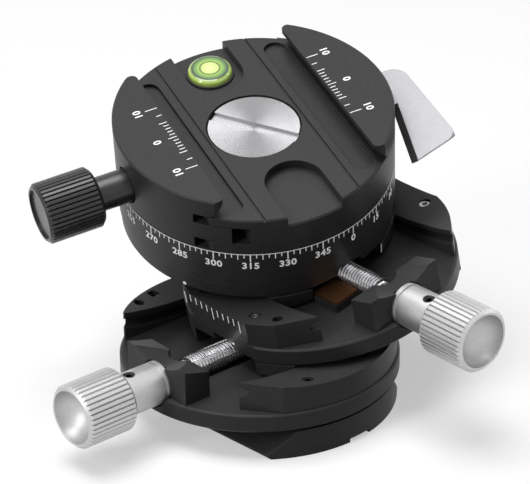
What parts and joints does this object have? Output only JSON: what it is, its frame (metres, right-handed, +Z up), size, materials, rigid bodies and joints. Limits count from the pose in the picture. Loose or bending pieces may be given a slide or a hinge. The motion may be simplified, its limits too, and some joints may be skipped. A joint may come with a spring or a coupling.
{
  "type": "geared tripod head",
  "caption": "Geared tripod head: crossed worm-driven tilt stages with arc racks under a panning dovetail clamp with bubble level and pan lock lever.",
  "frame": {"origin": "centre of the tapped hole in the underside of the base plate", "axes": "+Z up along the base's axis; the lower tilt turns about +Y and its knob lies along -X; the base dovetail is turned 4.5 degrees from Y about +Z"},
  "size_m": [0.0936, 0.094, 0.065],
  "materials": {
    "black_anodised": "satin black anodised",
    "dark_anodised": "satin black anodised",
    "silver_anodised": "satin silver anodised",
    "black_steel": "black oxide",
    "bright_steel": "turned and polished",
    "bronze": "machined bronze",
    "vial_fluid": "clear tinted fluid under a lens"
  },
  "bodies": {
    "base": {"base_plate": "black_anodised", "lower_stage_disc": "black_anodised", "lower_front_rail": "dark_anodised", "lower_back_rail": "dark_anodised", "lower_worm_block": "dark_anodised", "lower_worm_bush": "bronze", "lower_tail_bush": "bronze", "lower_screws": "black_steel"},
    "lower_knob": {"lower_knob": "silver_anodised", "lower_worm": "bright_steel", "lower_worm_shaft": "bright_steel", "lower_set_screw": "black_steel"},
    "cross_stage": {"lower_saddle": "black_anodised", "lower_rack": "bronze", "upper_stage_disc": "black_anodised", "upper_left_rail": "dark_anodised", "upper_right_rail": "dark_anodised", "upper_worm_block": "dark_anodised", "upper_worm_bush": "bronze", "upper_tail_bush": "bronze", "upper_screws": "black_steel", "bronze_pad": "bronze"},
    "upper_knob": {"upper_knob": "silver_anodised", "upper_worm": "bright_steel", "upper_worm_shaft": "bright_steel", "upper_set_screw": "black_steel"},
    "pan_seat": {"upper_saddle": "black_anodised", "upper_rack": "bronze", "pan_seat": "black_anodised", "pan_spindle": "bright_steel", "centre_screw": "bright_steel"},
    "clamp": {"clamp_body": "black_anodised", "brake_shoe": "bronze", "level_ring": "dark_anodised", "level_vial": "vial_fluid"},
    "jaw": {"moving_jaw": "black_anodised"},
    "clamp_knob": {"clamp_knob": "black_anodised", "clamp_screw": "bright_steel"},
    "pan_lever": {"pan_lever": "silver_anodised", "pan_lever_shaft": "bright_steel"}
  },
  "joints": [
    {"name": "lower_tilt", "type": "hinge", "parent": "base", "child": "cross_stage", "pos_m": [0, 0, 0.10165], "axis": [0, 1, 0], "range_deg": [0, 24]},
    {"name": "lower_knob_turn", "type": "hinge", "parent": "base", "child": "lower_knob", "pos_m": [0, 0, 0.01205], "axis": [1, 0, 0], "range_deg": [0, 8640]},
    {"name": "upper_tilt", "type": "hinge", "parent": "cross_stage", "child": "pan_seat", "pos_m": [-0.00234, 0, 0.11265], "axis": [-0.9781, 0, -0.2079], "range_deg": [0, 24]},
    {"name": "upper_knob_turn", "type": "hinge", "parent": "cross_stage", "child": "upper_knob", "pos_m": [0.01629, 0, 0.02501], "axis": [0, 1, 0], "range_deg": [0, 8640]},
    {"name": "pan", "type": "hinge", "parent": "pan_seat", "child": "clamp", "pos_m": [0.01037, 0.01299, 0.05286], "axis": [-0.2034, -0.2079, 0.9568], "continuous": true},
    {"name": "jaw_slide", "type": "slide", "parent": "clamp", "child": "jaw", "axis": [-0.9501, 0.2778, -0.1416], "range_m": [-0.002, 0.005]},
    {"name": "clamp_knob_turn", "type": "hinge", "parent": "jaw", "child": "clamp_knob", "pos_m": [0.01123, 0.01387, 0.04884], "axis": [-0.9501, 0.2778, -0.1416], "range_deg": [-900, 2250]},
    {"name": "pan_lever_turn", "type": "hinge", "parent": "clamp", "child": "pan_lever", "pos_m": [0.0119, 0.01581, 0.04815], "axis": [0.9501, -0.2778, 0.1416], "range_deg": [-10, 30]}
  ],
  "couplings": [
    {"joint": "lower_knob_turn", "follows": "lower_tilt", "ratio": 360},
    {"joint": "upper_knob_turn", "follows": "upper_tilt", "ratio": 360},
    {"joint": "clamp_knob_turn", "follows": "jaw_slide", "rad_per_m": 7854}
  ]
}
